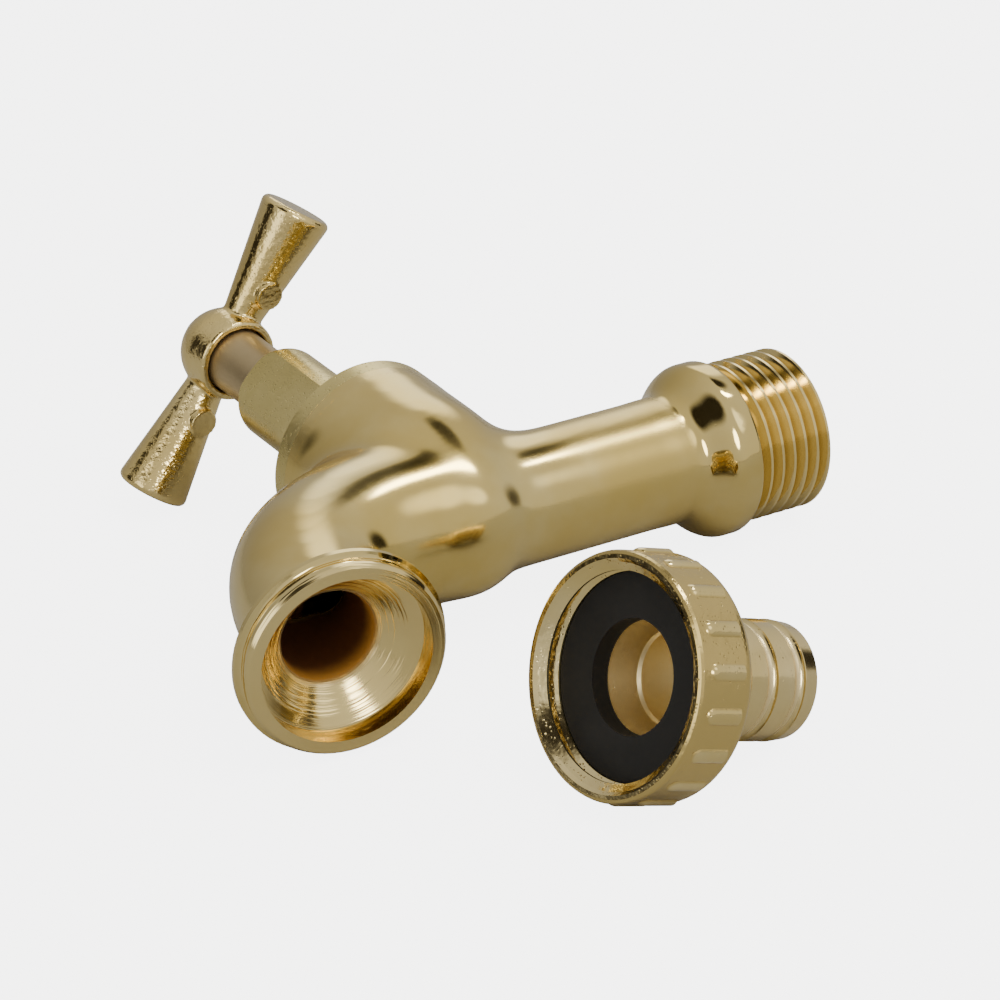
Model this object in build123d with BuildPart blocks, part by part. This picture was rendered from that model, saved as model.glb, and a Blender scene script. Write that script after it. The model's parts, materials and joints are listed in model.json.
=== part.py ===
"""Bib tap with a T-bar handle, laid on a bench, and its hose union lying beside it.

Millimetres, +Z up, bench top at z = 0. The tap is drawn in its own frame: +X runs
out of the inlet and +Z runs up the spindle. The union is drawn with +Z running from
its mouth down the tail. Both are then laid on the bench.
"""

import os
from math import atan, cos, pi, radians, sin, tan

from build123d import *

os.makedirs("parts", exist_ok=True)

# How the tap lies on the bench
tap_heading = 33.89
tap_dip = 3.50
tap_roll = 6.42
tap_height = 13.73

# Where the union lies on the bench
union_x = 18.93
union_y = -50.20
union_heading = 39.0

# Inlet thread form
pitch = 1.814
thread_depth = 1.162
crest_flat = 0.36
root_flat = 0.26
running_gap = 0.05

# Inlet and barrel
inlet_end = 52.0
inlet_thread_r = 10.478
inlet_turns = 6
inlet_bore_r = 6.5
inlet_bore_deep = 12.0
barrel_r = 8.25
barrel_bore_r = 5.6
barrel_bore_start = 13.0
collar_r = 11.35
collar_start = 32.2
collar_z = 38.4

# Boss, valve chamber and seat
boss_r = 12.7
boss_top = 18.3
boss_side_low = 8.5
barrel_soft_r = 6.0
spout_soft_r = 5.5
boss_bottom = -9.6
chamber_r = 8.8
chamber_top = 10.6
chamber_floor = 4.5
seat_top = 5.3
seat_r = 3.6
seat_lip_r = 4.8
under_seat_r = 4.2
under_seat_bottom = -6.5
feed_r = 3.9
feed_z = -2.2
bonnet_thread_r = 9.0
gasket_r = 10.6
gasket_thick = 1.2

# Spout and outlet
spout_radii = (10.6, 10.4, 9.8, 9.0, 8.6)
spout_z = 1.5
spout_bend = 18.0
spout_shares = (0, 0.25, 0.5, 0.75, 1)
outlet_lean = 10.7
outlet_rim_x = -29.46
outlet_rim_z = -23.33
ridge_r = 13.22
lead_r = 12.55
outlet_bore_r = 6.3
outlet_mouth_r = 10.7
outlet_mouth_deep = 2.8
outlet_funnel_deep = 6.0
passage_start = -6.7
passage_z = 3.8
passage_bend = 17.0
passage_r = 5.8

# Bonnet
flange_top = 21.0
neck_r = 6.28
neck_top = 41.8
flat_apart = 10.0
flat_heading = 43.0
running_r = 5.5
running_top = 21.4
stem_gap = 0.05

# Spindle and O-rings
stem_r = 4.3
foot_z = 11.4
foot_top = 15.2
socket_r = 2.6
socket_deep = 6.0
oring_heights = (26.0, 30.0)
oring_r = 0.62
groove_r = 3.1
groove_wide = 1.7
square_side = 5.0
square_z = 53.1
square_tall = 4.4

# Handle and its screw
bar_z = 54.7
hub_z = 54.3
hub_r = 5.9
hub_mouth_z = 50.7
hub_mouth_r = 4.6
bar_heading = 121.4
bar_half = 21.3
bar_root_r = 2.6
bar_tip_r = 4.85
pad_out = 9.5
pad_r = 1.9
pad_z = 51.1
screw_r = 2.0
screw_deep = 3.4
screw_head_r = 3.0
screw_seat_z = 59.0

# Jumper
stud_r = 1.5
disc_r = 5.3
disc_z = 8.1
disc_top = 9.9
thrust_r = 4.4
washer_nut_flat = 5.5
washer_nut_z = 3.2

# Union
nut_r = 14.35
nut_back_z = 9.6
nut_hole_r = 8.1
nut_wall_z = 7.45
nut_thread_r = 12.06
nut_root_r = 12.96
rib_count = 18
rib_r = 1.4
rib_out = 0.4
rib_front = 1.1
rib_back = 6.6
washer_z = 3.1
washer_r = 12.0
washer_hole_r = 6.7
washer_thick = 2.4
tail_flange_r = 11.9
tail_flange_back = 7.4
tail_neck_z = 10.4
tail_bore_in = 6.6
tail_throat_r = 5.7
tail_throat_z = 9.6
tail_bore_out = 5.4
tail_r = 7.15
tail_grooves = (14.2, 18.5, 22.9)
tail_groove_r = 0.9
tail_groove_deep = 0.6
tail_taper_z = 23.9
tail_end = 26.3
tail_tip_r = 6.9
tail_tip_z = 25.9


def thread_outline(start, turns):
    """Corner points of the inlet's flat-topped crests, as (distance, radius) pairs."""
    root_r = inlet_thread_r - thread_depth
    slope = (pitch - crest_flat - root_flat) / 2
    points = []
    for turn in range(turns):
        at = start + turn * pitch
        points += [
            (at, root_r),
            (at + slope, inlet_thread_r),
            (at + slope + crest_flat, inlet_thread_r),
            (at + slope * 2 + crest_flat, root_r),
        ]
    return points


def joins(piece, low_x, high_x):
    """Curved edges that wrap round the body between two distances along the inlet."""
    found = []
    for edge in piece.edges().filter_by(GeomType.BSPLINE):
        box = edge.bounding_box()
        if box.min.X > low_x and box.max.X < high_x and box.size.Y > 5:
            found.append(edge)
    return found


# Outlet frame: the section's own +Y runs from the rim up into the spout
lean = radians(outlet_lean)
outlet_up = Vector(sin(lean), 0, cos(lean))
outlet_side = Vector(cos(lean), 0, -sin(lean))
outlet_rim = Vector(outlet_rim_x, 0, outlet_rim_z)
outlet_section = Plane(origin=outlet_rim, x_dir=outlet_side, z_dir=(0, -1, 0))
outlet_axis = Axis(outlet_rim, outlet_up)


def run_to_outlet(start_x, level, bend, stop):
    """A level run, a bend, then a straight down the outlet axis to this depth."""
    turn = pi / 2 - lean
    low = level - bend * (1 - cos(turn))
    bend_x = outlet_rim.X + (low - outlet_rim.Z) * tan(lean) + bend * sin(turn)
    end = outlet_rim + outlet_up * stop
    with BuildLine(Plane.XZ) as run:
        level_run = Line((start_x, level), (bend_x, level))
        turned = JernArc(level_run @ 1, level_run % 1, bend, 90 - outlet_lean)
        Line(turned @ 1, (end.X, end.Z))
    return run.line


# Tap body
thread_start = inlet_end - inlet_turns * pitch
inlet_outline = thread_outline(thread_start, inlet_turns)
spout_line = run_to_outlet(0, spout_z, spout_bend, 3.5)
passage_line = run_to_outlet(passage_start, passage_z, passage_bend, outlet_funnel_deep - 0.3)

with BuildPart() as tap_body:
    # barrel, collar and inlet thread
    with BuildSketch(Plane.XZ):
        with BuildLine():
            Polyline((0, 0), (0, barrel_r), (collar_start, barrel_r))
            Spline((collar_start, barrel_r), (collar_start + 3.2, barrel_r + 1.9),
                   (collar_z - 1.2, collar_r - 0.12), (collar_z, collar_r),
                   tangents=((1, 0.1), (1, 0)))
            Line((collar_z, collar_r), (collar_z + 1, collar_r))
            ThreePointArc((collar_z + 1, collar_r), (collar_z + 1.7, collar_r - 0.3),
                          (collar_z + 2, collar_r - 1))
            Polyline((collar_z + 2, collar_r - 1), *inlet_outline, (inlet_end, 0), (0, 0))
        make_face()
    revolve(axis=Axis.X)
    # boss with its rounded bottom
    with BuildSketch(Plane.XZ):
        with BuildLine():
            Polyline((0, boss_bottom), (0, boss_top), (boss_r, boss_top),
                     (boss_r, boss_side_low))
            Spline((boss_r, boss_side_low), (boss_r * 0.9, 1.5), (boss_r * 0.63, -6.0),
                   (0, boss_bottom), tangents=((0, -1), (-1, 0)))
        make_face()
    revolve(axis=Axis.Z)
    # spout
    for share, radius in zip(spout_shares, spout_radii):
        with BuildSketch(Plane(origin=spout_line @ share, z_dir=spout_line % share)):
            Circle(radius)
    loft()
    # outlet ring with its crests
    with BuildSketch(outlet_section):
        with BuildLine():
            Polyline((0, 0), (lead_r - 0.4, 0), (lead_r, 0.5), (lead_r, 1.1),
                     (lead_r - 0.6, 1.6), (ridge_r - 1.1, 1.9), (ridge_r, 2.3),
                     (ridge_r, 3.0), (ridge_r - 1.1, 3.5),
                     (spout_radii[-1] + 0.8, 4.1), (spout_radii[-1] - 0.1, 5.4), (0, 5.4),
                     (0, 0))
        make_face()
    revolve(axis=outlet_axis)
    # soft corners where the barrel and the spout meet the boss
    fillet(joins(tap_body, 5, boss_r + 1), barrel_soft_r)
    fillet(joins(tap_body, -boss_r - 1, -1), spout_soft_r)
    # room for the bonnet, valve chamber and seat
    with BuildSketch(Plane.XZ):
        with BuildLine():
            Polyline((0, boss_top), (gasket_r, boss_top), (gasket_r, boss_top - gasket_thick),
                     (bonnet_thread_r, boss_top - gasket_thick),
                     (bonnet_thread_r, chamber_top), (chamber_r, chamber_top),
                     (chamber_r, chamber_floor), (seat_lip_r, chamber_floor),
                     (seat_lip_r - 0.4, seat_top), (seat_r, seat_top), (seat_r, 2.6),
                     (under_seat_r, 2.2), (under_seat_r, under_seat_bottom),
                     (0, under_seat_bottom), close=True)
        make_face()
    revolve(axis=Axis.Z, mode=Mode.SUBTRACT)
    # inlet bore, narrowing towards the seat
    with BuildSketch(Plane.YZ.offset(inlet_end - inlet_bore_deep)):
        Circle(inlet_bore_r)
    extrude(amount=inlet_bore_deep, mode=Mode.SUBTRACT)
    with BuildSketch(Plane.YZ.offset(barrel_bore_start)):
        Circle(barrel_bore_r)
    extrude(amount=inlet_end - barrel_bore_start, mode=Mode.SUBTRACT)
    with BuildSketch(Plane(origin=(0, 0, feed_z), z_dir=(barrel_bore_start, 0, -feed_z))):
        Circle(feed_r)
    extrude(amount=barrel_bore_start + 1, mode=Mode.SUBTRACT)
    # outlet passage and mouth
    with BuildSketch(Plane(origin=(passage_start, 0, passage_z), z_dir=(-1, 0, 0))):
        Circle(passage_r)
    sweep(path=passage_line, mode=Mode.SUBTRACT)
    with BuildSketch(outlet_section):
        with BuildLine():
            Polyline((0, 0), (outlet_mouth_r, 0), (outlet_mouth_r, outlet_mouth_deep),
                     (outlet_mouth_r - 0.6, outlet_mouth_deep + 0.2),
                     (outlet_bore_r, outlet_funnel_deep), (0, outlet_funnel_deep), close=True)
        make_face()
    revolve(axis=outlet_axis, mode=Mode.SUBTRACT)

# Bonnet
with BuildPart() as bonnet:
    with BuildSketch(Plane.XZ):
        with BuildLine():
            Polyline((0, neck_top), (0, chamber_top), (bonnet_thread_r, chamber_top),
                     (bonnet_thread_r, boss_top), (boss_r, boss_top),
                     (boss_r, flange_top - 0.4), (boss_r - 0.4, flange_top),
                     (neck_r, flange_top), (neck_r, neck_top - 2))
            Spline((neck_r, neck_top - 2), (neck_r - 0.5, neck_top - 0.6),
                   (neck_r - 1.6, neck_top), tangents=((0, 1), (-1, 0)))
            Line((neck_r - 1.6, neck_top), (0, neck_top))
        make_face()
    revolve(axis=Axis.Z)
    # two wrench flats
    with BuildSketch(Plane.XY.offset(flange_top + 0.8)):
        with PolarLocations(flat_apart / 2 + 5, 2, start_angle=flat_heading):
            Rectangle(10, 20)
    extrude(amount=neck_top - flange_top, mode=Mode.SUBTRACT)
    # running thread room and stem hole
    with BuildSketch(Plane.XZ):
        with BuildLine():
            Polyline((0, chamber_top), (running_r, chamber_top), (running_r, running_top),
                     (stem_r + stem_gap, running_top), (stem_r + stem_gap, neck_top),
                     (0, neck_top), close=True)
        make_face()
    revolve(axis=Axis.Z, mode=Mode.SUBTRACT)

with BuildPart() as bonnet_gasket:
    with BuildSketch(Plane.XY.offset(boss_top - gasket_thick)):
        Circle(gasket_r)
        Circle(bonnet_thread_r, mode=Mode.SUBTRACT)
    extrude(amount=gasket_thick)

# Spindle, drawn with the valve closed
grooves = []
for height in oring_heights:
    grooves += [(stem_r, height - groove_wide / 2), (groove_r, height - groove_wide / 2),
                (groove_r, height + groove_wide / 2), (stem_r, height + groove_wide / 2)]

with BuildPart() as spindle:
    with BuildSketch(Plane.XZ):
        with BuildLine():
            Polyline((socket_r, foot_z), (running_r - running_gap, foot_z),
                     (running_r - running_gap, foot_top), (stem_r, foot_top), *grooves,
                     (stem_r, square_z),
                     (0, square_z), (0, foot_z + socket_deep),
                     (socket_r, foot_z + socket_deep), close=True)
        make_face()
    revolve(axis=Axis.Z)
    with BuildSketch(Plane.XY.offset(square_z)):
        Rectangle(square_side, square_side, rotation=bar_heading)
    extrude(amount=square_tall)
    with BuildSketch(Plane.XY.offset(square_z + square_tall)):
        Circle(screw_r)
    extrude(amount=-screw_deep, mode=Mode.SUBTRACT)

with BuildPart() as spindle_oring_lower:
    with BuildSketch(Plane.XZ):
        with Locations((groove_r + oring_r, oring_heights[0])):
            Circle(oring_r)
    revolve(axis=Axis.Z)

with BuildPart() as spindle_oring_upper:
    with BuildSketch(Plane.XZ):
        with Locations((groove_r + oring_r, oring_heights[1])):
            Circle(oring_r)
    revolve(axis=Axis.Z)

# Handle
bar_way = Vector(cos(radians(bar_heading)), sin(radians(bar_heading)), 0)
bar_section = Plane(origin=(0, 0, bar_z), x_dir=bar_way, z_dir=bar_way.cross(Vector(0, 0, 1)))

with BuildPart() as handle:
    # ball hub with the mouth round the stem
    with BuildSketch(Plane.XZ):
        with BuildLine():
            Polyline((0, hub_z + hub_r), (0, square_z), (hub_mouth_r, square_z),
                     (hub_mouth_r, hub_mouth_z), (hub_mouth_r + 0.7, hub_mouth_z),
                     (hub_mouth_r + 1.0, hub_mouth_z + 0.3), (hub_r, hub_z))
            RadiusArc((hub_r, hub_z), (0, hub_z + hub_r), -hub_r)
        make_face()
    revolve(axis=Axis.Z)
    # two flared arms with softened ends
    with BuildSketch(bar_section):
        with BuildLine():
            for side in (-1, 1):
                Polyline((0, bar_root_r), (side * 5, bar_root_r),
                         (side * (bar_half - 0.8), bar_tip_r))
                ThreePointArc((side * (bar_half - 0.8), bar_tip_r),
                              (side * (bar_half - 0.2), bar_tip_r - 0.3),
                              (side * bar_half, bar_tip_r - 1))
                Polyline((side * bar_half, bar_tip_r - 1), (side * bar_half, 0), (0, 0))
        make_face()
    revolve(axis=Axis((0, 0, bar_z), bar_way))
    # round pads under the arm roots
    with BuildSketch(Plane.XY.offset(pad_z)):
        with PolarLocations(pad_out, 2, start_angle=bar_heading):
            Circle(pad_r)
    extrude(amount=bar_z - pad_z)
    # mouth, square hole, screw hole and screw seat
    with BuildSketch(Plane.XY.offset(hub_mouth_z)):
        Circle(hub_mouth_r)
    extrude(amount=square_z - hub_mouth_z, mode=Mode.SUBTRACT)
    with BuildSketch(Plane.XY.offset(square_z)):
        Rectangle(square_side, square_side, rotation=bar_heading)
    extrude(amount=square_tall, mode=Mode.SUBTRACT)
    with BuildSketch(Plane.XY.offset(square_z + square_tall)):
        Circle(screw_r)
    extrude(amount=hub_r, mode=Mode.SUBTRACT)
    with BuildSketch(Plane.XY.offset(screw_seat_z)):
        Circle(screw_head_r)
    extrude(amount=hub_r, mode=Mode.SUBTRACT)

with BuildPart() as handle_screw:
    with BuildSketch(Plane.XZ):
        with BuildLine():
            Polyline((0, screw_seat_z + 2), (0, square_z + square_tall - screw_deep),
                     (screw_r, square_z + square_tall - screw_deep), (screw_r, screw_seat_z),
                     (screw_head_r, screw_seat_z), (screw_head_r, screw_seat_z + 1))
            ThreePointArc((screw_head_r, screw_seat_z + 1), (screw_head_r * 0.6, screw_seat_z + 1.7),
                          (0, screw_seat_z + 2))
        make_face()
    revolve(axis=Axis.Z)
    # driver slot
    with BuildSketch(Plane.XY.offset(screw_seat_z + 1)):
        Rectangle(screw_head_r * 3, 0.8, rotation=bar_heading)
    extrude(amount=2, mode=Mode.SUBTRACT)

# Jumper with its washer and nut, drawn on the seat
with BuildPart() as jumper:
    with BuildSketch(Plane.XZ):
        with BuildLine():
            Polyline((0, washer_nut_z - 0.6), (stud_r, washer_nut_z - 0.6), (stud_r, disc_z),
                     (disc_r, disc_z), (disc_r, disc_top), (thrust_r, disc_top),
                     (thrust_r, foot_z - 0.02), (socket_r - running_gap, foot_z - 0.02),
                     (socket_r - running_gap, foot_z + socket_deep - 0.4),
                     (0, foot_z + socket_deep - 0.4), close=True)
        make_face()
    revolve(axis=Axis.Z)

with BuildPart() as seat_washer:
    with BuildSketch(Plane.XY.offset(seat_top)):
        Circle(disc_r - 0.15)
        Circle(stud_r, mode=Mode.SUBTRACT)
    extrude(amount=disc_z - seat_top)

with BuildPart() as washer_nut:
    with BuildSketch(Plane.XY.offset(washer_nut_z)):
        RegularPolygon(washer_nut_flat / 2, 6, major_radius=False)
        Circle(stud_r, mode=Mode.SUBTRACT)
    extrude(amount=seat_top - washer_nut_z)

# Union nut
rib_middle_r = nut_r + rib_out - rib_r

with BuildPart() as union_nut:
    with BuildSketch(Plane.XZ):
        with BuildLine():
            Polyline((0, 0), (nut_r - 0.5, 0), (nut_r - 0.15, 0.15), (nut_r, 0.5),
                     (nut_r, rib_back + 0.4))
            Spline((nut_r, rib_back + 0.4), (nut_r - 1, nut_back_z - 0.9),
                   (nut_r - 3.2, nut_back_z), tangents=((0, 1), (-1, 0)))
            Polyline((nut_r - 3.2, nut_back_z), (0, nut_back_z), (0, 0))
        make_face()
    revolve(axis=Axis.Z)
    # low ribs for the grip
    with BuildSketch(Plane.XY.offset(rib_front + rib_r)):
        with PolarLocations(rib_middle_r, rib_count, start_angle=180 / rib_count):
            Circle(rib_r)
    extrude(amount=rib_back - rib_front - rib_r)
    with Locations((0, 0, rib_front + rib_r)):
        with PolarLocations(rib_middle_r, rib_count, start_angle=180 / rib_count):
            Sphere(rib_r)
    # thread, washer room and tail hole
    with BuildSketch(Plane.XZ):
        with BuildLine():
            Polyline((0, 0), (nut_root_r + 0.4, 0), (nut_root_r, 0.4), (nut_thread_r, 1.0),
                     (nut_thread_r, 1.3), (nut_root_r, 1.9), (nut_root_r, 2.2),
                     (nut_thread_r, 2.8), (nut_thread_r, 3.1), (nut_root_r, 3.7),
                     (nut_root_r, nut_wall_z), (nut_hole_r, nut_wall_z),
                     (nut_hole_r, nut_back_z), (0, nut_back_z), close=True)
        make_face()
    revolve(axis=Axis.Z, mode=Mode.SUBTRACT)

# Hose tail and its washer
tail_face = washer_z + washer_thick

with BuildPart() as hose_tail:
    with BuildSketch(Plane.XZ):
        with BuildLine():
            Polyline((tail_bore_in, tail_face), (tail_flange_r, tail_face),
                     (tail_flange_r, tail_flange_back),
                     (nut_hole_r - running_gap, tail_flange_back),
                     (nut_hole_r - running_gap, tail_neck_z), (tail_r, tail_neck_z + 0.8),
                     (tail_r, tail_taper_z), (tail_tip_r, tail_tip_z), (tail_tip_r - 0.4, tail_end),
                     (tail_bore_out, tail_end), (tail_bore_out, tail_throat_z),
                     (tail_throat_r, tail_throat_z - 0.4), close=True)
        make_face()
        # rounded grooves that hold the hose
        for groove in tail_grooves:
            with Locations((tail_r + tail_groove_r - tail_groove_deep, groove)):
                Circle(tail_groove_r, mode=Mode.SUBTRACT)
    revolve(axis=Axis.Z)

with BuildPart() as union_washer:
    with BuildSketch(Plane.XY.offset(washer_z)):
        Circle(washer_r)
        Circle(washer_hole_r, mode=Mode.SUBTRACT)
    extrude(amount=washer_thick)

# Laying the tap on its outlet ring, its collar and one end of the T-bar
heading = radians(tap_heading)
dip = radians(tap_dip)
roll = radians(tap_roll)
inlet_way = Vector(cos(dip) * cos(heading), cos(dip) * sin(heading), -sin(dip))
level_way = Vector(-sin(heading), cos(heading), 0)
stem_way = level_way * cos(roll) + inlet_way.cross(level_way) * sin(roll)
tap_place = Plane(origin=(0, 0, tap_height), x_dir=inlet_way, z_dir=stem_way).location

# Laying the union on two ribs and the end of its tail
rib_reach = rib_middle_r * cos(pi / rib_count) + rib_r
slope = atan((rib_reach - tail_tip_r) / (tail_tip_z - rib_back))
mouth_height = rib_reach * cos(slope) + rib_back * sin(slope)
tail_heading = radians(union_heading)
tail_way = Vector(cos(slope) * cos(tail_heading), cos(slope) * sin(tail_heading), -sin(slope))
union_up = Vector(sin(slope) * cos(tail_heading), sin(slope) * sin(tail_heading), cos(slope))
union_place = Plane(origin=(union_x, union_y, mouth_height), x_dir=union_up,
                    z_dir=tail_way).location

tap_pieces = {
    "tap_body": tap_body,
    "bonnet": bonnet,
    "bonnet_gasket": bonnet_gasket,
    "spindle": spindle,
    "spindle_oring_lower": spindle_oring_lower,
    "spindle_oring_upper": spindle_oring_upper,
    "handle": handle,
    "handle_screw": handle_screw,
    "jumper": jumper,
    "seat_washer": seat_washer,
    "washer_nut": washer_nut,
}
union_pieces = {
    "union_nut": union_nut,
    "hose_tail": hose_tail,
    "union_washer": union_washer,
}

laid_pieces = {name: piece.part.moved(tap_place) for name, piece in tap_pieces.items()}
for name, piece in union_pieces.items():
    laid_pieces[name] = piece.part.moved(union_place)

# The middle of everything laid out becomes the middle of the frame
reach = Compound(list(laid_pieces.values())).bounding_box()
to_middle = Location((-reach.center().X, -reach.center().Y, 0))

for name, piece in laid_pieces.items():
    centred = piece.moved(to_middle)
    centred.label = name
    export_step(centred, f"parts/{name}.step")
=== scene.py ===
"""Bib tap with a T-bar handle, laid on a pale bench, with its hose union beside it."""

import json
import math

import bpy
from mathutils import Matrix, Vector


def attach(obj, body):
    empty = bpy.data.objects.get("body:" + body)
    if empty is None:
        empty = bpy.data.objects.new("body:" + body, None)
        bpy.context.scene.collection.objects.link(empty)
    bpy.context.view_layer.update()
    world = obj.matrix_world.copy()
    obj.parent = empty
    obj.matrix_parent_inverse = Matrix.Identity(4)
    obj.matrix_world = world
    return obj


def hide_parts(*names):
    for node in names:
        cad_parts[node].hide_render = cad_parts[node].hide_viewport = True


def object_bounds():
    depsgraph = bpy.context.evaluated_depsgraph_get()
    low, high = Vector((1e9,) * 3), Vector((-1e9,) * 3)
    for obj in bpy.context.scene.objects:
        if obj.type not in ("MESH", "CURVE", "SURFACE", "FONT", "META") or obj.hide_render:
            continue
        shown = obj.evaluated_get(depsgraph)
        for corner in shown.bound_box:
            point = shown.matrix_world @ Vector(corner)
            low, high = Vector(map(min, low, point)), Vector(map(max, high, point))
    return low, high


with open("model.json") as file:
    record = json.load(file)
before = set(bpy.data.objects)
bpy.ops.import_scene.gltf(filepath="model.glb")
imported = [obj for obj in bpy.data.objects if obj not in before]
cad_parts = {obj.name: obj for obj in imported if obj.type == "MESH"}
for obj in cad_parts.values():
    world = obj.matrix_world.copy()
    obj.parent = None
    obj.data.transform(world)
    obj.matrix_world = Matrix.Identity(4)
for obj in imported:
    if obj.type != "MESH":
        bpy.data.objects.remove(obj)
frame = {"nodes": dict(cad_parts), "record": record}
cad_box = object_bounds()
record = frame["record"]

MM = 0.001

# ---------------------------------------------------------------- places and directions
joints = {joint["name"]: joint for joint in record["behaviour"]["joints"]}
mounts = {mount["name"]: mount for mount in record["mounts"]}

tap_centre = Vector(joints["handle_turn"]["pos_m"])
stem_way = Vector(joints["handle_turn"]["axis"]).normalized()
inlet_way = Vector(mounts["inlet_thread"]["axis"]).normalized()
inlet_middle = Vector(mounts["inlet_thread"]["pos_m"])
outlet_way = Vector(mounts["outlet_ring"]["axis"]).normalized()
outlet_rim = Vector(mounts["outlet_ring"]["pos_m"]) + outlet_way * 2.65 * MM
tail_way = Vector(joints["union_nut_spin"]["axis"]).normalized()
union_mouth = Vector(joints["union_nut_spin"]["pos_m"])
side_way = stem_way.cross(inlet_way)


def at_tap(x, y, z):
    """A point of the tap's own frame, in millimetres, placed on the bench."""
    return tap_centre + (inlet_way * x + side_way * y + stem_way * z) * MM


# ---------------------------------------------------------------- camera
camera_data = bpy.data.cameras.new("camera")
camera = bpy.data.objects.new("camera", camera_data)
bpy.context.collection.objects.link(camera)
bpy.context.scene.camera = camera
camera_data.lens = 155.86
camera_data.sensor_width = 36.0
camera_data.clip_start, camera_data.clip_end = 0.01, 20.0
camera_from_tap = Vector((22.069, -484.918, 221.608)) * MM
camera_back = Vector((0.029522, -0.910677, 0.412062)).normalized()
camera_up = Vector((0.068124, 0.413116, 0.908127)).normalized()
camera_right = camera_up.cross(camera_back).normalized()
camera_up = camera_back.cross(camera_right)
camera.location = tap_centre + camera_from_tap
camera.rotation_mode = "QUATERNION"
camera.rotation_quaternion = Matrix((camera_right, camera_up, camera_back)).transposed().to_quaternion()


# ---------------------------------------------------------------- node helpers
class Nodes:
    """Adds nodes to one tree, from left to right."""

    def __init__(self, tree):
        self.tree = tree
        self.column = 0

    def add(self, kind, operation=None, **values):
        node = self.tree.nodes.new(kind)
        node.location = (self.column * 190, 0)
        self.column += 1
        if operation:
            node.operation = operation
        for key, value in values.items():
            name = key.replace("_", " ")
            socket = node.inputs[int(key[1:])] if key[0] == "i" and key[1:].isdigit() else node.inputs[name]
            if isinstance(value, bpy.types.NodeSocket):
                self.tree.links.new(value, socket)
            else:
                socket.default_value = value
        return node

    def math(self, operation, a, b=0.0, clamp=False):
        node = self.add("ShaderNodeMath", operation, i0=a, i1=b)
        node.use_clamp = clamp
        return node.outputs[0]

    def vector(self, operation, a, b=(0.0, 0.0, 0.0)):
        node = self.add("ShaderNodeVectorMath", operation, i0=a, i1=b)
        return node.outputs["Value"] if operation in ("DOT_PRODUCT", "LENGTH") else node.outputs["Vector"]

    def ramp(self, value, low, high):
        """0 below low and 1 above high, eased between."""
        node = self.add("ShaderNodeMapRange", Value=value, From_Min=low, From_Max=high)
        node.interpolation_type = "SMOOTHSTEP"
        return node.outputs["Result"]

    def fade(self, value, low, high):
        """1 below low and 0 above high, eased between."""
        return self.math("SUBTRACT", 1.0, self.ramp(value, low, high))

    def both(self, a, b):
        """Where two masks overlap."""
        return self.math("MULTIPLY", a, b)

    def mix(self, factor, a, b):
        node = self.tree.nodes.new("ShaderNodeMix")
        node.data_type = "RGBA"
        for socket, value in ((node.inputs[0], factor), (node.inputs[6], a), (node.inputs[7], b)):
            if isinstance(value, bpy.types.NodeSocket):
                self.tree.links.new(value, socket)
            else:
                socket.default_value = value
        return node.outputs[2]

    def blend(self, factor, a, b):
        """A number between a and b."""
        node = self.tree.nodes.new("ShaderNodeMix")
        for socket, value in ((node.inputs[0], factor), (node.inputs[2], a), (node.inputs[3], b)):
            if isinstance(value, bpy.types.NodeSocket):
                self.tree.links.new(value, socket)
            else:
                socket.default_value = value
        return node.outputs[0]


def group(name, ins, outs):
    """A shader node group with the given sockets, its node adder, and its input and output nodes."""
    tree = bpy.data.node_groups.new(name, "ShaderNodeTree")
    for label, kind, value in ins:
        socket = tree.interface.new_socket(label, in_out="INPUT", socket_type="NodeSocket" + kind)
        if value is not None:
            socket.default_value = value
    for label, kind in outs:
        tree.interface.new_socket(label, in_out="OUTPUT", socket_type="NodeSocket" + kind)
    add = Nodes(tree)
    start = tree.nodes.new("NodeGroupInput")
    end = tree.nodes.new("NodeGroupOutput")
    return tree, add, start.outputs, end.inputs


# how far along an axis a point lies, and how far out from it, in millimetres
axis_tree, add, gin, gout = group(
    "round an axis",
    [("Point", "Vector", None), ("Centre", "Vector", None), ("Axis", "Vector", None)],
    [("Along", "Float"), ("Radius", "Float")],
)
offset = add.vector("SUBTRACT", gin["Point"], gin["Centre"])
along = add.vector("DOT_PRODUCT", offset, gin["Axis"])
on_axis = add.add("ShaderNodeVectorMath", "SCALE", i0=gin["Axis"], Scale=along).outputs[0]
outward = add.vector("SUBTRACT", offset, on_axis)
radius = add.vector("LENGTH", outward)
axis_tree.links.new(add.math("MULTIPLY", along, 1000.0), gout["Along"])
axis_tree.links.new(add.math("MULTIPLY", radius, 1000.0), gout["Radius"])

# small dents and pits of a casting under plate
pits_tree, add, gin, gout = group(
    "cast pits",
    [("Point", "Vector", None), ("Size", "Float", 0.5), ("Amount", "Float", 0.5)],
    [("Height", "Float"), ("Pitted", "Float")],
)
scale = add.math("DIVIDE", 1000.0, gin["Size"])
cells = add.add("ShaderNodeTexVoronoi", Vector=gin["Point"], Scale=scale).outputs["Distance"]
pit = add.ramp(cells, 0.0, 0.32)
patches = add.add("ShaderNodeTexNoise", Vector=gin["Point"],
                  Scale=add.math("MULTIPLY", scale, 0.3), Detail=2.0)
where = add.ramp(patches.outputs["Fac"], add.math("SUBTRACT", 0.75, gin["Amount"]), 0.75)
dent = add.math("MULTIPLY", add.math("SUBTRACT", 1.0, pit), where)
pits_tree.links.new(add.math("SUBTRACT", 1.0, dent), gout["Height"])
pits_tree.links.new(dent, gout["Pitted"])

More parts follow.
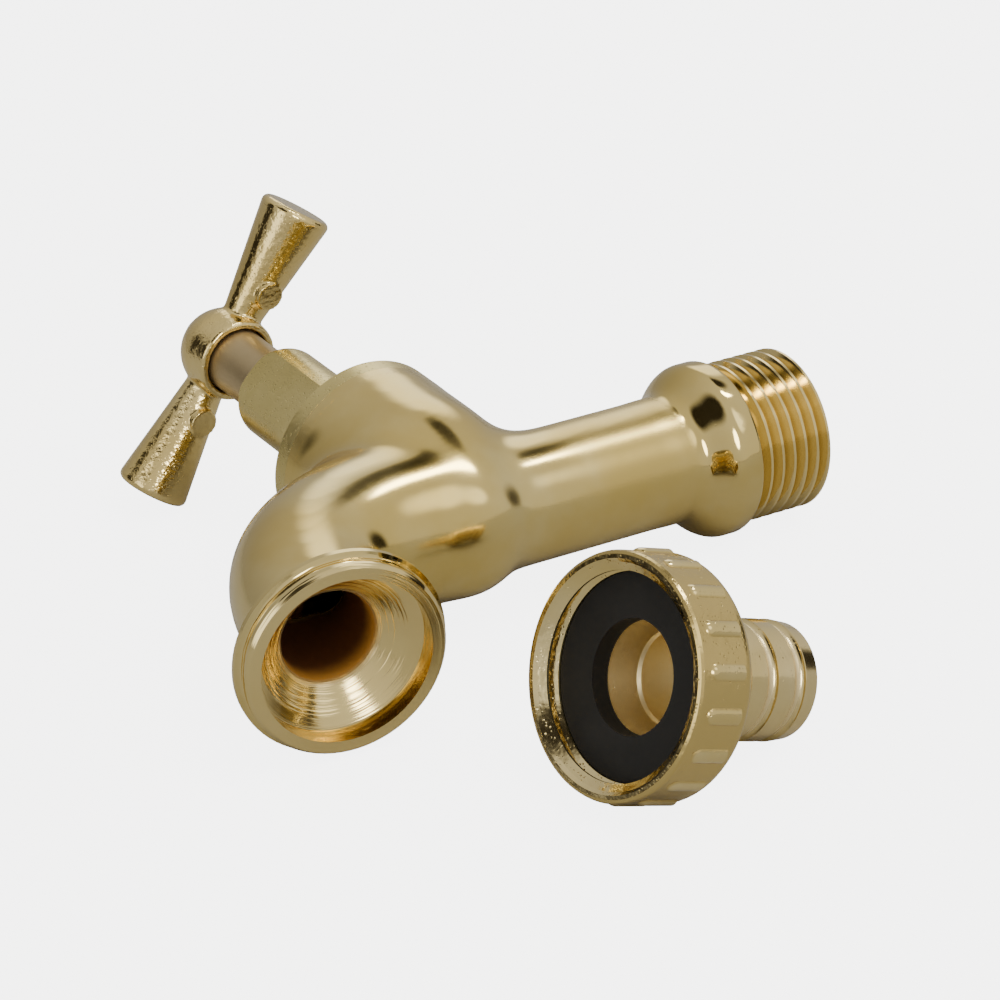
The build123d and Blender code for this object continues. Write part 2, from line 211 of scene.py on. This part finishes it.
# fine rings left by a turning tool
lathe_tree, add, gin, gout = group(
    "turning lines",
    [("Distance", "Float", 0.0), ("Point", "Vector", None), ("Step", "Float", 0.25)],
    [("Height", "Float")],
)
wander = add.add("ShaderNodeTexNoise", Vector=gin["Point"], Scale=220.0, Detail=2.0).outputs["Fac"]
phase = add.math("ADD", add.math("DIVIDE", gin["Distance"], gin["Step"]), add.math("MULTIPLY", wander, 0.5))
rings = add.add("ShaderNodeTexNoise", Scale=1.0, Detail=3.0, Roughness=0.7)
rings.noise_dimensions = "1D"
lathe_tree.links.new(phase, rings.inputs["W"])
lathe_tree.links.new(rings.outputs["Fac"], gout["Height"])

# slow changes of colour and shine over plated metal
tone_tree, add, gin, gout = group(
    "plate tone",
    [("Point", "Vector", None), ("Pale", "Color", (0.72, 0.66, 0.47, 1)),
     ("Deep", "Color", (0.6, 0.5, 0.3, 1)), ("Low", "Float", 0.16), ("High", "Float", 0.26)],
    [("Colour", "Color"), ("Roughness", "Float")],
)
clouds = add.add("ShaderNodeTexNoise", Vector=gin["Point"], Scale=55.0, Detail=4.0, Roughness=0.55)
fine = add.add("ShaderNodeTexNoise", Vector=gin["Point"], Scale=900.0, Detail=3.0, Roughness=0.6)
share = add.ramp(clouds.outputs["Fac"], 0.3, 0.7)
tone_tree.links.new(add.mix(share, gin["Deep"], gin["Pale"]), gout["Colour"])
mottle = add.blend(0.35, share, fine.outputs["Fac"])
tone_tree.links.new(add.blend(mottle, gin["Low"], gin["High"]), gout["Roughness"])


def place(add, tree, **values):
    """Puts a group in a material and gives it its values."""
    node = add.tree.nodes.new("ShaderNodeGroup")
    node.node_tree = tree
    for key, value in values.items():
        if isinstance(value, bpy.types.NodeSocket):
            add.tree.links.new(value, node.inputs[key])
        else:
            node.inputs[key].default_value = value
    return node.outputs


def new_material(name, metallic=1.0):
    material = bpy.data.materials.new(name)
    material.use_nodes = True
    add = Nodes(material.node_tree)
    surface = material.node_tree.nodes["Principled BSDF"]
    surface.inputs["Metallic"].default_value = metallic
    point = add.add("ShaderNodeTexCoord").outputs["Object"]
    return material, add, surface, point


def bump(add, surface, *layers):
    """Heights in millimetres, one over another."""
    last = None
    for height, depth in layers:
        node = add.add("ShaderNodeBump", Strength=1.0, Distance=depth * MM, Height=height)
        if last is not None:
            add.tree.links.new(last, node.inputs["Normal"])
        last = node.outputs["Normal"]
    add.tree.links.new(last, surface.inputs["Normal"])


def plated(name, pale, deep, low, high, pit_size, pit_amount, relief=None):
    """Champagne plate over a casting: two colours, the roughness from low to high, and the pits' size
    and amount. relief is the pits' depth, the swell's height and how many swells there are in a metre."""
    material, add, surface, point = new_material(name)
    tone = place(add, tone_tree, Point=point, Pale=pale, Deep=deep, Low=low, High=high)
    pits = place(add, pits_tree, Point=point, Size=pit_size, Amount=pit_amount)
    add.tree.links.new(tone["Colour"], surface.inputs["Base Color"])
    add.tree.links.new(tone["Roughness"], surface.inputs["Roughness"])
    if relief:
        pit_depth, wave, ripple = relief
        swell = add.add("ShaderNodeTexNoise", Vector=point, Scale=ripple, Detail=2.0).outputs["Fac"]
        bump(add, surface, (swell, wave), (pits["Height"], pit_depth))
    return material, add, surface, point, tone, pits


champagne = (0.74, 0.60, 0.27, 1.0)
olive = (0.64, 0.48, 0.15, 1.0)
gold = (0.86, 0.69, 0.32, 1.0)
dark_gold = (0.58, 0.42, 0.13, 1.0)
# the passage's brown: darkened deeper in as painted shade, and lighter at the mouth as painted light
passage_brown_painted_shade = (0.16, 0.055, 0.012, 1.0)
passage_brown_painted_light = (0.62, 0.30, 0.05, 1.0)
nut_painted_shade = (0.62, 0.47, 0.17, 1.0)
bore_tan = (0.84, 0.69, 0.38, 1.0)

# Where finishes change over, in millimetres, as the two ends of each change.
# Depths go in from the outlet's rim, and places along the inlet are from its thread's middle.
passage_starts, passage_stops = (5.2, 6.6), (19.5, 21.5)
passage_wall = (6.35, 6.8)
mouth_light_fades = (6.0, 9.5)
turned_stops, turned_edge = (6.0, 6.6), (12.2, 12.9)
ring_stops, ring_starts = (4.2, 5.0), (11.6, 11.9)
barrel_starts, barrel_stops = (-36.0, -28.0), (-14.6, -13.8)
collar_starts = (-14.2, -13.4)
thread_starts, thread_root = (-5.6, -5.2), (9.4, 10.1)
rib_foot, rib_top = (13.6, 13.9), (14.4, 14.6)
tail_bore_wall = (6.5, 6.8)

body_plate, add, surface, point, tone, pits = plated("body plate", champagne, olive, 0.11, 0.2, 0.6, 0.12)
outlet = place(add, axis_tree, Point=point, Centre=outlet_rim, Axis=-outlet_way)
inlet = place(add, axis_tree, Point=point, Centre=inlet_middle, Axis=inlet_way)
# the brown inside of the outlet passage, which stops before the outer skin behind the bend; its colour holds
# painted light near the mouth and painted shade deeper in
passage = add.both(add.ramp(outlet["Along"], *passage_starts), add.fade(outlet["Radius"], *passage_wall))
passage = add.both(passage, add.fade(outlet["Along"], *passage_stops))
# painted light and shade: the passage brown is lighter near the mouth and darker deeper in
mouth_painted_light = add.both(passage, add.fade(outlet["Along"], *mouth_light_fades))
passage_lit_and_shaded_brown = add.mix(mouth_painted_light, passage_brown_painted_shade, passage_brown_painted_light)
colour = add.mix(passage, tone["Colour"], passage_lit_and_shaded_brown)
add.tree.links.new(add.math("SUBTRACT", 1.0, add.math("MULTIPLY", passage, 0.75)), surface.inputs["Metallic"])
# golden turned faces of the outlet and the thread
turned_face = add.both(add.fade(outlet["Along"], *turned_stops), add.fade(outlet["Radius"], *turned_edge))
thread_zone = add.ramp(inlet["Along"], *thread_starts)
worked = add.math("MAXIMUM", turned_face, thread_zone)
colour = add.mix(add.math("MULTIPLY", worked, 0.6), colour, gold)
root = add.both(thread_zone, add.fade(inlet["Radius"], *thread_root))
colour = add.mix(add.math("MULTIPLY", root, 0.6), colour, dark_gold)
add.tree.links.new(colour, surface.inputs["Base Color"])
# satin barrel, polished collar and outlet ring
barrel_skin = add.both(add.ramp(inlet["Along"], *barrel_starts), add.fade(inlet["Along"], *barrel_stops))
collar_skin = add.ramp(inlet["Along"], *collar_starts)
ring_skin = add.both(add.fade(outlet["Along"], *ring_stops), add.ramp(outlet["Radius"], *ring_starts))
rough = tone["Roughness"]
for where, value in ((passage, 0.55), (barrel_skin, 0.27), (collar_skin, 0.07), (worked, 0.13),
                     (ring_skin, 0.06)):
    rough = add.blend(where, rough, value)
add.tree.links.new(rough, surface.inputs["Roughness"])
lines = place(add, lathe_tree, Distance=outlet["Radius"], Point=point, Step=0.7)
swell = add.add("ShaderNodeTexNoise", Vector=point, Scale=140.0, Detail=2.0).outputs["Fac"]
bump(add, surface, (swell, 0.02), (pits["Height"], 0.008), (add.both(lines["Height"], turned_face), 0.09))

nut_plate, add, surface, point, tone, pits = plated(
    "nut plate", (0.82, 0.68, 0.35, 1), (0.70, 0.55, 0.22, 1), 0.08, 0.16, 0.5, 0.4, (0.06, 0.07, 600.0))
nut = place(add, axis_tree, Point=point, Centre=union_mouth, Axis=tail_way)
# painted shade: the nut's skin between the ribs is coloured darker; it is also given a satin roughness
between_ribs = add.both(add.ramp(nut["Radius"], *rib_foot), add.fade(nut["Radius"], *rib_top))
add.tree.links.new(add.mix(between_ribs, tone["Colour"], nut_painted_shade), surface.inputs["Base Color"])
add.tree.links.new(add.blend(between_ribs, tone["Roughness"], 0.2), surface.inputs["Roughness"])

tail_plate, add, surface, point, tone, pits = plated(
    "tail plate", (0.80, 0.66, 0.34, 1), (0.70, 0.54, 0.22, 1), 0.08, 0.16, 0.5, 0.3, (0.03, 0.03, 500.0))
tail = place(add, axis_tree, Point=point, Centre=union_mouth, Axis=tail_way)
bore = add.fade(tail["Radius"], *tail_bore_wall)
add.tree.links.new(add.mix(bore, tone["Colour"], bore_tan), surface.inputs["Base Color"])
add.tree.links.new(add.blend(bore, tone["Roughness"], 0.42), surface.inputs["Roughness"])

plain_plates = (
    ("bonnet plate", (0.72, 0.60, 0.26, 1), (0.60, 0.49, 0.18, 1), 0.22, 0.34, 0.45, 0.5, (0.09, 0.04, 900.0)),
    ("handle plate", (0.84, 0.67, 0.30, 1), (0.72, 0.54, 0.19, 1), 0.08, 0.15, 0.4, 0.4, (0.05, 0.08, 1300.0)),
    ("bare stem", (0.58, 0.46, 0.27, 1), (0.46, 0.36, 0.20, 1), 0.38, 0.5, 0.3, 0.5, (0.012, 0.01, 140.0)),
    ("turned brass", (0.84, 0.66, 0.34, 1), (0.74, 0.56, 0.26, 1), 0.22, 0.34, 0.3, 0.1, (0.008, 0.01, 140.0)),
)
bonnet_plate, handle_plate, bare_stem, turned_brass = (plated(*values)[0] for values in plain_plates)

rubber, add, surface, point = new_material("black rubber", metallic=0.0)
grain = add.add("ShaderNodeTexNoise", Vector=point, Scale=2600.0, Detail=3.0).outputs["Fac"]
dust = add.add("ShaderNodeTexNoise", Vector=point, Scale=160.0, Detail=5.0).outputs["Fac"]
tint = add.mix(add.ramp(dust, 0.45, 0.75), (0.004, 0.004, 0.004, 1), (0.010, 0.0095, 0.0085, 1))
add.tree.links.new(tint, surface.inputs["Base Color"])
add.tree.links.new(add.blend(dust, 0.5, 0.72), surface.inputs["Roughness"])
bump(add, surface, (grain, 0.01))

fibre, add, surface, point = new_material("red fibre", metallic=0.0)
grain = add.add("ShaderNodeTexNoise", Vector=point, Scale=1800.0, Detail=4.0).outputs["Fac"]
add.tree.links.new(add.mix(grain, (0.22, 0.05, 0.03, 1), (0.34, 0.10, 0.06, 1)), surface.inputs["Base Color"])
add.tree.links.new(add.blend(grain, 0.6, 0.85), surface.inputs["Roughness"])
bump(add, surface, (grain, 0.02))

# ---------------------------------------------------------------- pieces
def own_copy(node, name):
    """A closed, welded copy of a worked solid."""
    bpy.ops.object.select_all(action="DESELECT")
    made = bpy.data.objects.new(name, frame["nodes"][node].data.copy())
    bpy.context.collection.objects.link(made)
    made.select_set(True)
    bpy.context.view_layer.objects.active = made
    bpy.ops.mesh.customdata_custom_splitnormals_clear()
    bpy.ops.object.mode_set(mode="EDIT")
    bpy.ops.mesh.select_all(action="SELECT")
    bpy.ops.mesh.remove_doubles(threshold=0.002 * MM)
    bpy.ops.object.mode_set(mode="OBJECT")
    return made


def soften(cast, cell, rounds, share=None):
    """Gives a copy an even skin, then rounds its edges over as a casting's are."""
    bpy.context.view_layer.objects.active = cast
    remesh = cast.modifiers.new("skin", "REMESH")
    remesh.mode = "VOXEL"
    remesh.voxel_size = cell * MM
    bpy.ops.object.modifier_apply(modifier="skin")
    if share:
        cast_skin = cast.vertex_groups.new(name="cast skin")
        for corner in cast.data.vertices:
            cast_skin.add([corner.index], share(corner.co), "REPLACE")
    smooth = cast.modifiers.new("soften", "SMOOTH")
    smooth.factor = 0.5
    smooth.iterations = rounds
    if share:
        smooth.vertex_group = "cast skin"
    bpy.ops.object.modifier_apply(modifier="soften")


def cut_away(piece, point, way):
    """Takes off what lies beyond a plane, on the side that way points to, and closes the cut."""
    bpy.ops.object.select_all(action="DESELECT")
    piece.select_set(True)
    bpy.context.view_layer.objects.active = piece
    bpy.ops.object.mode_set(mode="EDIT")
    bpy.ops.mesh.select_all(action="SELECT")
    bpy.ops.mesh.bisect(plane_co=point, plane_no=way, use_fill=True, clear_outer=True, threshold=0.001 * MM)
    bpy.ops.object.mode_set(mode="OBJECT")


def set_finish(piece, finish):
    piece.data.materials.clear()
    piece.data.materials.append(finish)


def eased(value, low, high):
    """0 below low and 1 above high, eased between."""
    share = min(max((value - low) / (high - low), 0.0), 1.0)
    return share * share * (3 - 2 * share)


# The softened skin of the body meets crisp copies of the CAD at three planes: along the inlet,
# up the stem and in from the outlet's rim, in millimetres.
barrel_cut, boss_cut, outlet_cut = 31.6, 16.8, 4.4
pad_out, pad_edge, pad_rise = 9.5, (2.0, 2.8), (51.9, 53.0)


def body_share(place):
    """How much of the body's skin is as cast: none of it at the collar, the bonnet's rim or the outlet."""
    offset = (place - tap_centre) / MM
    from_barrel = eased(barrel_cut - 0.4 - offset.dot(inlet_way), 0.3, 3.5)
    from_boss = eased(boss_cut - 0.2 - offset.dot(stem_way), 0.3, 2.5)
    from_outlet = eased((place - outlet_rim).dot(-outlet_way) / MM - outlet_cut - 0.2, 0.3, 3.5)
    return from_barrel * from_boss * from_outlet


def handle_share(place):
    """How much of the handle's skin is as cast: none of it on the two round pads."""
    offset = (place - tap_centre) / MM
    rise = offset.dot(stem_way)
    out = (offset - stem_way * rise).length
    return max(eased(abs(out - pad_out), *pad_edge), eased(rise, *pad_rise))


tap_body = own_copy("tap_body", "tap_body_cast")
soften(tap_body, 0.42, 90, body_share)
cast_pieces = [tap_body]
for name, point, way in (
    ("thread end", at_tap(barrel_cut, 0, 0), inlet_way),
    ("boss rim", at_tap(0, 0, boss_cut), stem_way),
    ("outlet ring", outlet_rim - outlet_way * outlet_cut * MM, outlet_way),
):
    cut_away(tap_body, point, way)
    crisp = own_copy("tap_body", name)
    cut_away(crisp, point, -way)
    cast_pieces.append(crisp)
bpy.ops.object.select_all(action="DESELECT")
for part in cast_pieces:
    part.select_set(True)
bpy.context.view_layer.objects.active = tap_body
bpy.ops.object.join()
bpy.ops.object.shade_smooth_by_angle(angle=math.radians(32))
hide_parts("tap_body")
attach(tap_body, "tap")
set_finish(tap_body, body_plate)

handle = own_copy("handle", "handle_cast")
soften(handle, 0.2, 14, handle_share)
bpy.ops.object.shade_smooth()
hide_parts("handle")
set_finish(handle, handle_plate)
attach(handle, "spindle")

finishes = {
    "tap_body": body_plate, "bonnet": bonnet_plate, "bonnet_gasket": fibre, "spindle": bare_stem,
    "spindle_oring_lower": rubber, "spindle_oring_upper": rubber, "handle": handle_plate,
    "handle_screw": turned_brass, "jumper": turned_brass, "seat_washer": rubber, "washer_nut": turned_brass,
    "union_nut": nut_plate, "hose_tail": tail_plate, "union_washer": rubber,
}
for name, finish in finishes.items():
    set_finish(frame["nodes"][name], finish)

# ---------------------------------------------------------------- bench and studio
bpy.ops.mesh.primitive_plane_add(size=8.0, location=(0, 0, cad_box[0].z))
bench = bpy.context.object
bench.name = "bench"
paper, add, surface, point = new_material("white paper", metallic=0.0)
surface.inputs["Base Color"].default_value = (0.44, 0.435, 0.42, 1)
surface.inputs["Roughness"].default_value = 0.8
surface.inputs["Specular IOR Level"].default_value = 0.1
surface.inputs["Emission Color"].default_value = (1, 1, 1, 1)
seen = add.add("ShaderNodeLightPath").outputs["Is Camera Ray"]
add.tree.links.new(add.math("MULTIPLY", seen, 5.0), surface.inputs["Emission Strength"])
bench.data.materials.append(paper)

world = bpy.data.worlds.new("studio")
bpy.context.scene.world = world
world.use_nodes = True
back = world.node_tree.nodes["Background"]
add = Nodes(world.node_tree)
towards = add.add("ShaderNodeTexCoord").outputs["Generated"]
share = add.ramp(add.vector("DOT_PRODUCT", towards, (0.62, -0.30, 0.72)), -0.9, 0.9)
# the camera sees a backdrop as pale as the bench
seen = add.add("ShaderNodeLightPath").outputs["Is Camera Ray"]
world.node_tree.links.new(add.mix(seen, (1.0, 0.97, 0.92, 1), (1, 1, 1, 1)), back.inputs["Color"])
world.node_tree.links.new(add.blend(seen, add.blend(share, 0.34, 0.88), 5.2), back.inputs["Strength"])


def around(turn, rise, far):
    """A place seen from the tap: turn 0 is towards the viewer and 90 to the right, rise is upwards."""
    turn, rise = math.radians(turn), math.radians(rise)
    return Vector((math.sin(turn) * math.cos(rise), -math.cos(turn) * math.cos(rise), math.sin(rise))) * far


def card(name, turn, rise, far, width, height, material):
    """A flat card facing the tap, which only reflections see."""
    bpy.ops.mesh.primitive_plane_add(size=1.0)
    made = bpy.context.object
    made.name = name
    made.scale = (width, height, 1)
    made.location = around(turn, rise, far)
    made.rotation_mode = "QUATERNION"
    made.rotation_quaternion = (-made.location).to_track_quat("Z", "Y")
    made.data.materials.append(material)
    made.visible_camera = False
    made.visible_shadow = False
    made.visible_diffuse = False


def card_paint(name, colour, strength, crisp=0.45):
    """Paint for a card that fades out from its middle to its round edge."""
    material, add, surface, point = new_material(name, metallic=0.0)
    surface.inputs["Base Color"].default_value = (0.01, 0.01, 0.01, 1)
    surface.inputs["Roughness"].default_value = 1.0
    surface.inputs["Emission Color"].default_value = (*colour, 1)
    surface.inputs["Emission Strength"].default_value = strength
    flat = add.vector("MULTIPLY", point, (1.0, 1.0, 0.0))
    edge = add.ramp(add.vector("LENGTH", flat), 0.5, 0.5 * crisp)
    add.tree.links.new(edge, surface.inputs["Alpha"])
    return material


warm_white = (1.0, 0.98, 0.95)
black = card_paint("black card", (1.0, 0.8, 0.6), 0.02)
soft = card_paint("soft box", warm_white, 2.2)
strip = card_paint("strip light", warm_white, 11.0, 0.7)
spark = card_paint("small lamp", (1.0, 0.98, 0.94), 22.0, 0.7)

card("box on the left", -47, 20, 1.15, 0.75, 1.25, soft)
card("dark corner on the left", -92, 20, 1.2, 0.8, 1.2, black)
card("dark gap over the camera", -38, 60, 1.0, 1.0, 0.95, black)
card("strip beside the camera", 18, 28, 1.0, 0.28, 0.5, strip)
card("dark gap behind", 150, 54, 0.9, 0.4, 0.34, black)
card("small lamp behind", 118, 61, 0.8, 0.12, 0.3, spark)
card("box behind", 173, 30, 1.2, 0.8, 0.8, soft)
card("dark flag on the right", 116, 4, 1.2, 0.75, 0.8, black)
card("right soft box", 66, 44, 1.5, 0.9, 1.0, soft)


top_box = bpy.data.lights.new("top box", "AREA")
top_box.shape = "RECTANGLE"
top_box.size, top_box.size_y = 0.6, 0.6
top_box.energy = 6.0
top_light = bpy.data.objects.new("top box", top_box)
bpy.context.collection.objects.link(top_light)
top_light.location = around(60, 60, 1.1)
top_light.rotation_mode = "QUATERNION"
top_light.rotation_quaternion = (-top_light.location).to_track_quat("-Z", "Y")
top_light.visible_glossy = False
